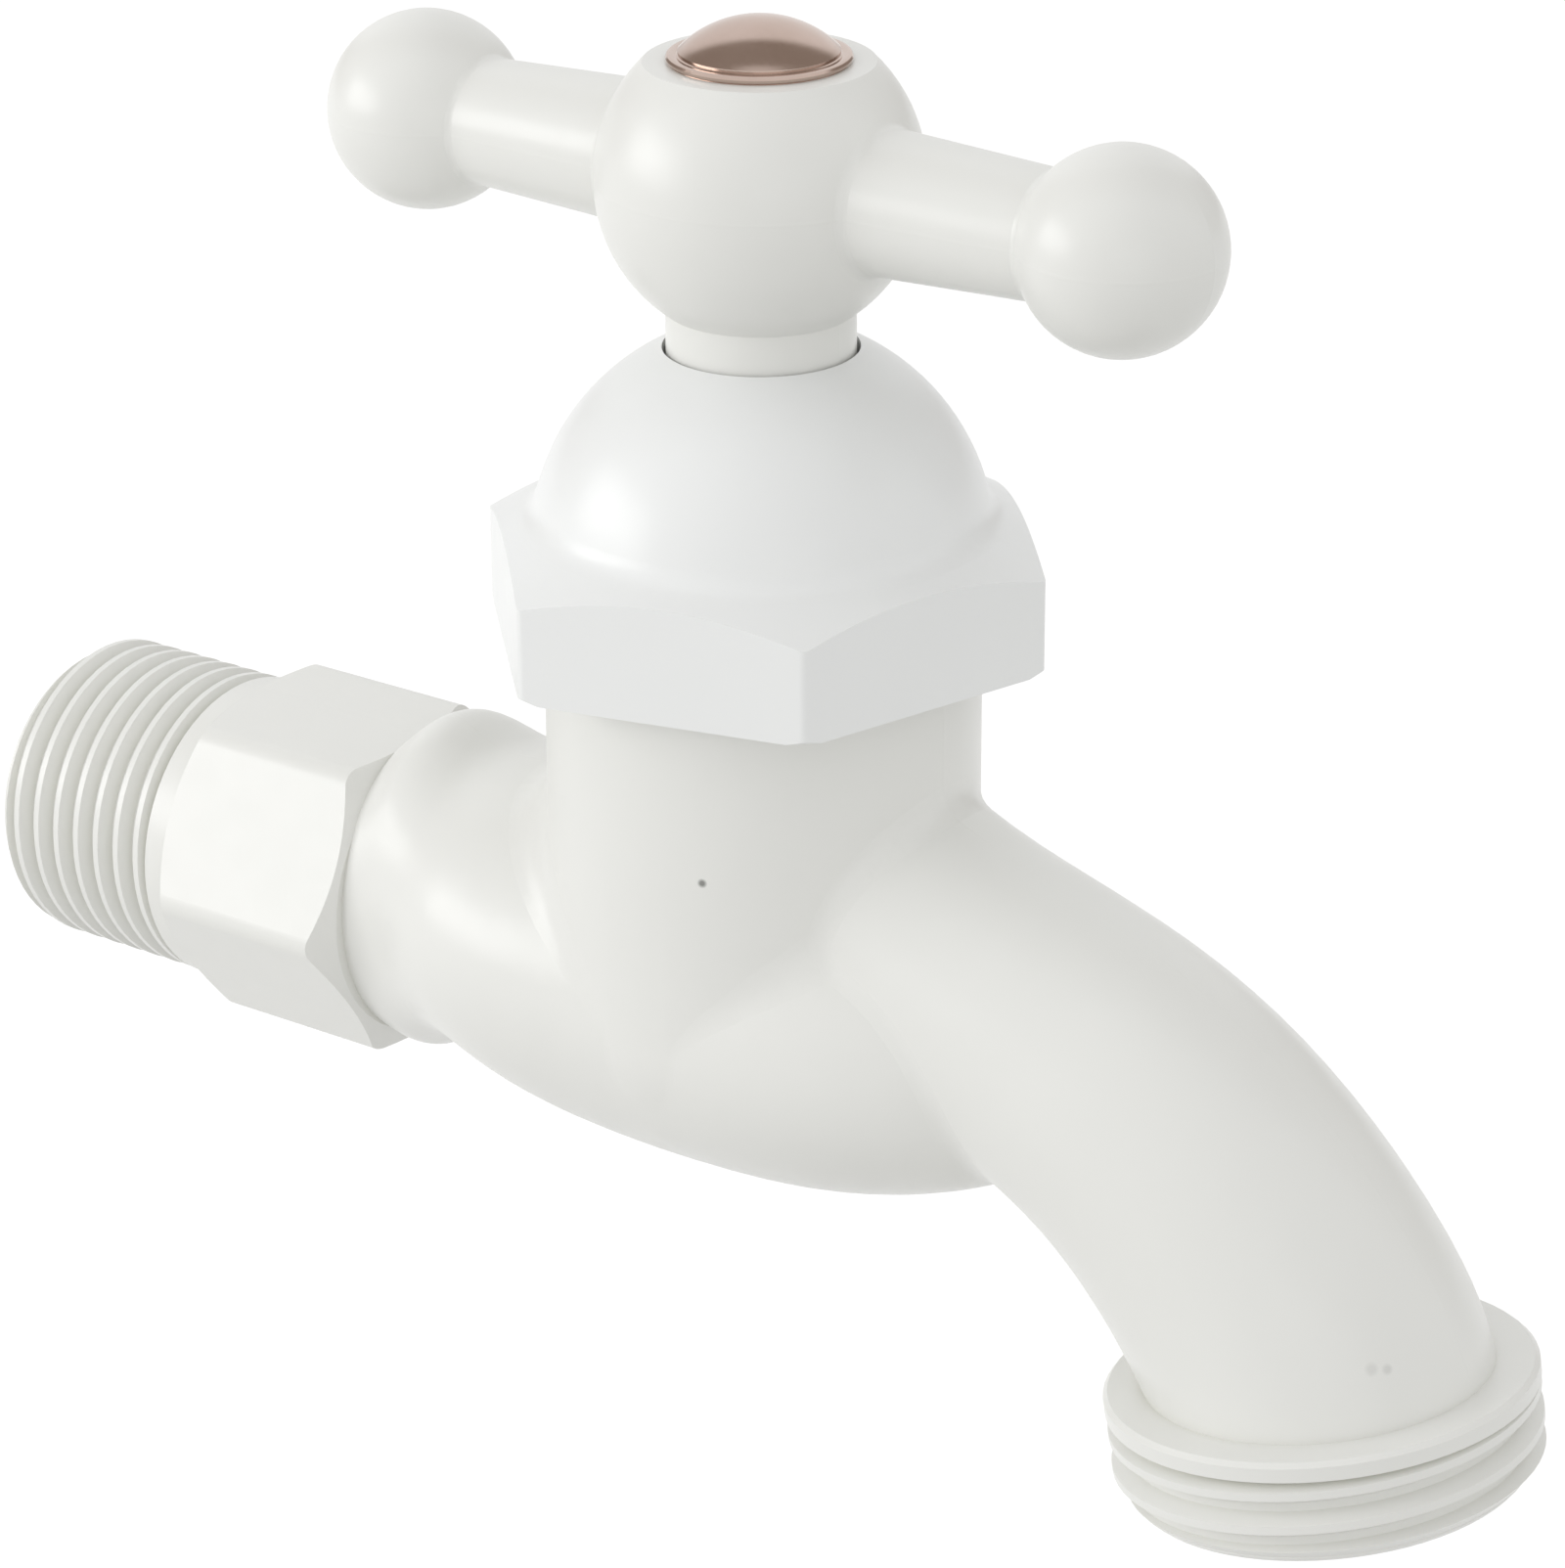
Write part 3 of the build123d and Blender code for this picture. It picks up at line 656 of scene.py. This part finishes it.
def turned(
    name: str, profile: Iterable[tuple[float, float]], axis: tuple[float, float], steps: int
) -> bpy.types.Object:
    """Spin a profile about an upright axis.

    Args:
        name: The new object's name.
        profile: Radius and height of each corner in metres, from pole to pole.
        axis: The axis in plan, in metres.
        steps: Faces round the axis.

    Returns:
        The object, at the origin with its place in its mesh.
    """
    mesh = bmesh.new()
    corners = [mesh.verts.new((radius, 0.0, height)) for radius, height in profile]
    edges = [mesh.edges.new(pair) for pair in zip(corners, corners[1:])]
    bmesh.ops.spin(
        mesh,
        geom=corners + edges,
        cent=(0.0, 0.0, 0.0),
        axis=(0.0, 0.0, 1.0),
        angle=math.tau,
        steps=steps,
        use_merge=True,
    )
    bmesh.ops.remove_doubles(mesh, verts=mesh.verts, dist=WELD_MM * MM)
    bmesh.ops.recalc_face_normals(mesh, faces=mesh.faces)
    bmesh.ops.translate(mesh, verts=mesh.verts, vec=(axis[0], axis[1], 0.0))
    data = bpy.data.meshes.new(name)
    mesh.to_mesh(data)
    mesh.free()
    data.polygons.foreach_set("use_smooth", [True] * len(data.polygons))
    data.set_sharp_from_angle(angle=math.radians(SHARP_DEGREES))
    made = bpy.data.objects.new(name, data)
    bpy.context.scene.collection.objects.link(made)
    return made


# The darker groove colours below are painted shade, mixed in where ambient occlusion finds a
# groove.
WARM_WHITE = dict(colour="E9E9E5", shade="E4E4E0", painted_groove_shade="DCDCD5", roughness=0.31)
COOL_WHITE = dict(colour="EEEFEE", shade="EAEBEA", painted_groove_shade="D6D7D7", roughness=0.31)


@dataclass
class TapBody:
    """The body moulding with its inlet, belly, housing, spout and outlet."""

    node: str = "body"
    finish: MouldedPlastic = MouldedPlastic(
        "moulded_white_plastic_body",
        mould=Mould.UPRIGHT,
        specks=(
            Speck(place=(47.29, -12.94, 12.87), radius=0.34, cover=0.75),
            Speck(place=(91.78, -6.25, -9.9), radius=0.5, cover=0.12),
            Speck(place=(92.4, -5.47, -10.05), radius=0.4, cover=0.16),
        ),
        **WARM_WHITE,
    )

    def build(self) -> None:
        """Dress the moulding."""
        dress(self.node, self.finish)


@dataclass
class Bonnet:
    """The bonnet nut and what it clamps on the housing."""

    nut: str = "bonnet_nut"
    finish: MouldedPlastic = MouldedPlastic("moulded_white_plastic_nut", **COOL_WHITE)
    carrier_finish: MouldedPlastic = MouldedPlastic(
        "moulded_grey_plastic_carrier",
        colour="C8C8C2",
        shade="C2C2BC",
        # The darker groove colour is painted shade.
        painted_groove_shade="A9A9A2",
        roughness=0.5,
    )
    fibre: SoftSeal = SoftSeal(
        "pressed_red_fibre",
        colour="8E3D2C",
        fleck="A9604A",
        roughness=0.75,
        grain_mm=0.25,
        grain_height_mm=0.02,
        stretch=4.0,
    )
    packing: SoftSeal = SoftSeal(
        "graphite_packing",
        colour="2B2B2C",
        fleck="454547",
        roughness=0.55,
        grain_mm=0.4,
        grain_height_mm=0.04,
        stretch=2.0,
    )
    brass: Metal = Metal(
        "turned_brass_rings", colour="D8B56C", tarnish="BF9A55", roughness=0.22, ring_mm=0.12
    )

    def build(self) -> None:
        """Dress the nut, the carrier and the seals."""
        dress(self.nut, self.finish)
        dress("stem_carrier", self.carrier_finish)
        dress("bonnet_gasket", self.fibre)
        dress("packing_ring", self.packing)
        for ring in ("packing_washer", "gland_ring"):
            dress(ring, self.brass)


@dataclass
class Valve:
    """The spindle, the jumper and the washer that closes the seat."""

    brass: Metal = Metal(
        "turned_brass_spindle", colour="D9B770", tarnish="C09C58", roughness=0.2, ring_mm=0.15
    )
    rubber: SoftSeal = SoftSeal(
        "moulded_black_rubber",
        colour="1E1E1F",
        fleck="29292A",
        roughness=0.6,
        grain_mm=0.3,
        grain_height_mm=0.01,
    )
    steel: Metal = Metal("drawn_steel", colour="BEBEBD", tarnish="A9A9A8", roughness=0.3)

    def build(self) -> None:
        """Dress the moving inner pieces."""
        for piece in ("spindle", "jumper", "washer_screw"):
            dress(piece, self.brass)
        dress("seat_washer", self.rubber)
        dress("jumper_clip", self.steel)


@dataclass(frozen=True)
class ChromeCap:
    """The pressed cap in the hub: a plug, a rolled edge, a flat rim, a step and a dome.

    Attributes:
        node: The CAD piece that it stands for.
        name: The new object's name.
        chrome: Its finish.
        hollow_mm: How far the middle of its underside is pressed up.
        hollow_share: How much of its radius that takes.
        plug_share: The plug's radius as a share of its own.
        tuck: How far its underside stays inside its edge, in halves of the lip's height.
        flange_mm: Width of its flat rim.
        lip_mm: Height of the rim's rolled edge.
        lip_start: Where the rolled edge starts, in degrees above level.
        lip_sweep: How far the rolled edge turns, in degrees.
        step_mm: Height of the step from the rim to the dome.
        crease_mm: Width and depth of the crease at the step's foot.
        lip_steps: Faces over the rolled edge.
        dome_steps: Faces from the step to the dome's top.
        round_steps: Faces round the cap.
    """

    node: str = "index_cap"
    name: str = "chrome_cap"
    chrome: Metal = Metal(
        "chrome_plated_cap", colour="CBB7AD", tarnish="BDA89C", roughness=0.12
    )
    hollow_mm: float = 0.3
    hollow_share: float = 0.8
    plug_share: float = 0.84
    tuck: float = 0.6
    flange_mm: float = 0.5
    lip_mm: float = 0.5
    lip_start: float = -70.0
    lip_sweep: float = 160.0
    step_mm: float = 0.2
    crease_mm: tuple[float, float] = (0.1, 0.06)
    lip_steps: int = 4
    dome_steps: int = 20
    round_steps: int = 128

    def profile(self, seat: float) -> list[tuple[float, float]]:
        """Work out the cap's outline from the CAD cap's box.

        Args:
            seat: Height in metres of the hub's top, on which the rim lies.

        Returns:
            Radius and height of each corner in metres.
        """
        low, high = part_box(self.node)
        radius = (high.x - low.x) / 2
        edge = self.lip_mm * MM / 2
        ceiling = low.z + self.hollow_mm * MM
        plug = radius * self.plug_share
        corners = [(0.0, ceiling), (radius * self.hollow_share, ceiling)]
        corners += [(plug, low.z), (plug, seat), (radius - edge * self.tuck, seat)]
        for index in range(self.lip_steps + 1):
            turn = math.radians(self.lip_start + self.lip_sweep * index / self.lip_steps)
            reach = radius - edge + edge * math.cos(turn)
            corners.append((reach, seat + edge + edge * math.sin(turn)))
        rim = seat + self.lip_mm * MM
        inner = radius - edge - self.flange_mm * MM
        crease_width, crease_depth = (size * MM for size in self.crease_mm)
        corners += [(inner + crease_width, rim - crease_depth), (inner, rim)]
        rise = high.z - rim - self.step_mm * MM
        bow = (inner**2 + rise**2) / (2 * rise)
        for index in range(self.dome_steps + 1):
            turn = math.asin(inner / bow) * (1 - index / self.dome_steps)
            corners.append((bow * math.sin(turn), high.z - bow + bow * math.cos(turn)))
        return corners

    def build(self, seat: float) -> None:
        """Spin the cap and put it in the CAD cap's place.

        Args:
            seat: Height in metres of the hub's top.
        """
        cap = turned(self.name, self.profile(seat), axis_of(self.node), self.round_steps)
        cap.data.materials.append(self.chrome.material())
        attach(cap, HANDLE_BODY)
        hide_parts(self.node)
        log.info("%s: %s", cap.name, self.chrome.name)


@dataclass
class Handle:
    """The two-ball handle with its screw and its chrome cap."""

    node: str = "handle"
    finish: MouldedPlastic = MouldedPlastic(
        "moulded_white_plastic_handle", mould=Mould.LEVEL, joint_level=54.0, **WARM_WHITE
    )
    steel: Metal = Metal(
        "plated_steel_screw", colour="C4C4C2", tarnish="ABABA8", roughness=0.25
    )
    cap: ChromeCap = ChromeCap()

    def build(self) -> None:
        """Dress the handle and put the detailed cap on it."""
        dress(self.node, self.finish)
        for piece in ("handle_screw", "lock_washer"):
            dress(piece, self.steel)
        hub_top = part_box(self.node)[1].z
        self.cap.build(hub_top)


@dataclass
class PhotoCamera:
    """The camera at the photograph's place, fitted to the tap.

    Attributes:
        name: The camera's name.
        distance: From the target to the lens in millimetres.
        focal: Focal length in pixels of the photograph.
        azimuth: Round the tap in degrees, nought looking along +Y.
        elevation: Above the level in degrees.
        roll: About the line of sight in degrees.
        target: The point that it looks at in millimetres.
        centre_shift: From the picture's middle to the line of sight in pixels.
        long_side: The photograph's long side in pixels.
        sensor: Width of the sensor in millimetres.
        clip: The nearest and the farthest distance that it shows, in metres.
    """

    name: str = "photo_camera"
    distance: float = 352.61
    focal: float = 5673.17
    azimuth: float = 36.03
    elevation: float = 22.97
    roll: float = -0.33
    target: tuple[float, float, float] = (43.60, 0.0, 14.17)
    centre_shift: tuple[float, float] = (-5.7, -0.78)
    long_side: float = 1603.0
    sensor: float = 36.0
    clip: tuple[float, float] = (0.01, 20.0)

    def build(self) -> None:
        """Make the camera and look through it."""
        around, up, tilt = (math.radians(x) for x in (self.azimuth, self.elevation, self.roll))
        back = Vector(
            (
                math.sin(around) * math.cos(up),
                -math.cos(around) * math.cos(up),
                math.sin(up),
            )
        )
        right = Vector((math.cos(around), math.sin(around), 0.0))
        above = back.cross(right)
        rolled_right = right * math.cos(tilt) + above * math.sin(tilt)
        rolled_above = above * math.cos(tilt) - right * math.sin(tilt)
        data = bpy.data.cameras.new(self.name)
        data.sensor_fit = "AUTO"
        data.sensor_width = self.sensor
        data.lens = self.focal / self.long_side * self.sensor
        data.shift_x = -self.centre_shift[0] / self.long_side
        data.shift_y = self.centre_shift[1] / self.long_side
        data.clip_start, data.clip_end = self.clip
        camera = bpy.data.objects.new(self.name, data)
        bpy.context.scene.collection.objects.link(camera)
        place = Matrix((rolled_right, rolled_above, back)).transposed().to_4x4()
        place.translation = Vector(self.target) * MM + back * self.distance * MM
        camera.matrix_world = place
        bpy.context.scene.camera = camera


@dataclass
class Softbox:
    """A flat soft light that looks at the tap.

    Attributes:
        name: The light's name.
        toward: Direction from the tap to the light.
        distance: From the tap in metres.
        width: Its level side in metres.
        height: Its other side in metres.
        power: Its power in watts.
    """

    name: str
    toward: tuple[float, float, float]
    distance: float
    width: float
    height: float
    power: float

    def build(self, middle: Vector) -> None:
        """Make the light.

        Args:
            middle: The point that it looks at.
        """
        data = bpy.data.lights.new(self.name, "AREA")
        data.shape = "RECTANGLE"
        data.size = self.width
        data.size_y = self.height
        data.energy = self.power
        light = bpy.data.objects.new(self.name, data)
        bpy.context.scene.collection.objects.link(light)
        away = Vector(self.toward).normalized()
        light.location = middle + away * self.distance
        light.rotation_mode = "QUATERNION"
        light.rotation_quaternion = away.to_track_quat("Z", "Y")


@dataclass
class Studio:
    """The pale floor, the soft lights and the white room.

    Attributes:
        drop: From the tap's lowest point to the floor in millimetres.
        floor_size: Side of the floor in metres.
        floor_colour: The floor's colour as sRGB hex.
        floor_roughness: Roughness of the floor's paint.
        floor_glow: Strength of its own light, where it is seen or mirrored.
        room_light: Strength of the room on the tap.
        background: Strength of the room where it is seen or mirrored.
        backdrop_toward: Direction of the white backdrop that the cap mirrors.
        backdrop_edges: Cosines to that direction between which it fades out.
        wall_edges: Cosines to that direction between which the wall comes in again.
        wall_colour: The darker room round the backdrop, which only a mirror shows.
        softboxes: The lights.
    """

    drop: float = 38.0
    floor_size: float = 6.0
    floor_colour: str = "D4D4D3"
    floor_roughness: float = 0.9
    floor_glow: float = 0.46
    room_light: float = 0.85
    background: float = 1.0
    backdrop_toward: tuple[float, float, float] = (-0.51, 0.70, 0.5)
    backdrop_edges: tuple[float, float] = (0.88, 0.78)
    wall_edges: tuple[float, float] = (0.28, 0.42)
    wall_colour: str = "A69E97"
    softboxes: tuple[Softbox, ...] = (
        Softbox(
            "key_softbox",
            toward=(-0.73, -0.68, 0.28),
            distance=0.6,
            width=0.44,
            height=0.22,
            power=1.1,
        ),
        Softbox(
            "fill_softbox",
            toward=(0.75, -0.66, 0.08),
            distance=0.8,
            width=0.6,
            height=0.5,
            power=0.45,
        ),
    )

    def build(self) -> None:
        """Make the floor, the lights and the room."""
        low, high = cad_box
        for softbox in self.softboxes:
            softbox.build((low + high) / 2)
        self.floor(low.z - self.drop * MM)
        self.room()
        bpy.context.scene.view_settings.view_transform = "Standard"

    def seen(self, tree: bpy.types.NodeTree) -> bpy.types.NodeSocket:
        """Tell where the camera, a mirror or a clear material looks.

        Args:
            tree: The tree that asks.

        Returns:
            One on those rays and nought on the others.
        """
        path = add_node(tree, "LightPath").outputs
        either = add_node(
            tree,
            "Math",
            settings={"operation": "MAXIMUM"},
            links={0: path["Is Camera Ray"], 1: path["Is Glossy Ray"]},
        ).outputs["Value"]
        return add_node(
            tree,
            "Math",
            settings={"operation": "MAXIMUM"},
            links={0: either, 1: path["Is Transmission Ray"]},
        ).outputs["Value"]

    def floor(self, level: float) -> None:
        """Lay the floor under the tap.

        Args:
            level: Its height in metres.
        """
        mesh = bmesh.new()
        bmesh.ops.create_grid(mesh, x_segments=1, y_segments=1, size=self.floor_size / 2)
        bmesh.ops.translate(mesh, verts=mesh.verts, vec=(0.0, 0.0, level))
        data = bpy.data.meshes.new("studio_floor")
        mesh.to_mesh(data)
        mesh.free()
        floor = bpy.data.objects.new("studio_floor", data)
        bpy.context.scene.collection.objects.link(floor)
        material, tree = new_material("painted_studio_floor")
        glow = add_node(
            tree,
            "Math",
            settings={"operation": "MULTIPLY"},
            values={1: self.floor_glow},
            links={0: self.seen(tree)},
        ).outputs["Value"]
        shader = add_node(
            tree,
            "BsdfPrincipled",
            values={
                "Base Color": linear(self.floor_colour),
                "Roughness": self.floor_roughness,
                "Specular IOR Level": 0.0,
                "Emission Color": WHITE,
            },
            links={"Emission Strength": glow},
        )
        add_node(tree, "OutputMaterial", links={"Surface": shader.outputs["BSDF"]})
        data.materials.append(material)

    def room(self) -> None:
        """Light the tap from all round and show white behind it."""
        world = bpy.data.worlds.new("white_room")
        bpy.context.scene.world = world
        world.use_nodes = True
        tree = world.node_tree
        tree.nodes.clear()
        strength = add_node(
            tree,
            "MapRange",
            values={"To Min": self.room_light, "To Max": self.background},
            links={"Value": self.seen(tree)},
        ).outputs["Result"]
        around = add_node(tree, "TexCoord").outputs["Generated"]
        toward = add_node(
            tree,
            "VectorMath",
            settings={"operation": "DOT_PRODUCT"},
            values={1: tuple(Vector(self.backdrop_toward).normalized())},
            links={0: around},
        ).outputs["Value"]
        outside, inside = (
            add_node(
                tree,
                "MapRange",
                settings={"interpolation_type": "SMOOTHSTEP"},
                values={"From Min": start, "From Max": end},
                links={"Value": toward},
            ).outputs["Result"]
            for start, end in (self.backdrop_edges, self.wall_edges)
        )
        wall = add_node(
            tree,
            "Math",
            settings={"operation": "MULTIPLY"},
            links={0: outside, 1: inside},
        ).outputs["Value"]
        share = add_node(
            tree,
            "Math",
            settings={"operation": "MULTIPLY"},
            links={0: wall, 1: add_node(tree, "LightPath").outputs["Is Glossy Ray"]},
        ).outputs["Value"]
        colour = add_node(
            tree,
            "Mix",
            settings=COLOUR_MIX,
            values={MIX_UNDER: WHITE, MIX_OVER: linear(self.wall_colour)},
            links={MIX_SHARE: share},
        ).outputs[MIX_RESULT]
        light = add_node(tree, "Background", links={"Color": colour, "Strength": strength})
        add_node(tree, "OutputWorld", links={"Surface": light.outputs["Background"]})


def main() -> None:
    """Build the tap's looks and the studio round it."""
    logging.basicConfig(level=logging.INFO, format="%(message)s")
    PhotoCamera().build()
    for part in (TapBody(), Bonnet(), Valve(), Handle()):
        part.build()
    Studio().build()


if __name__ == "__main__":
    main()
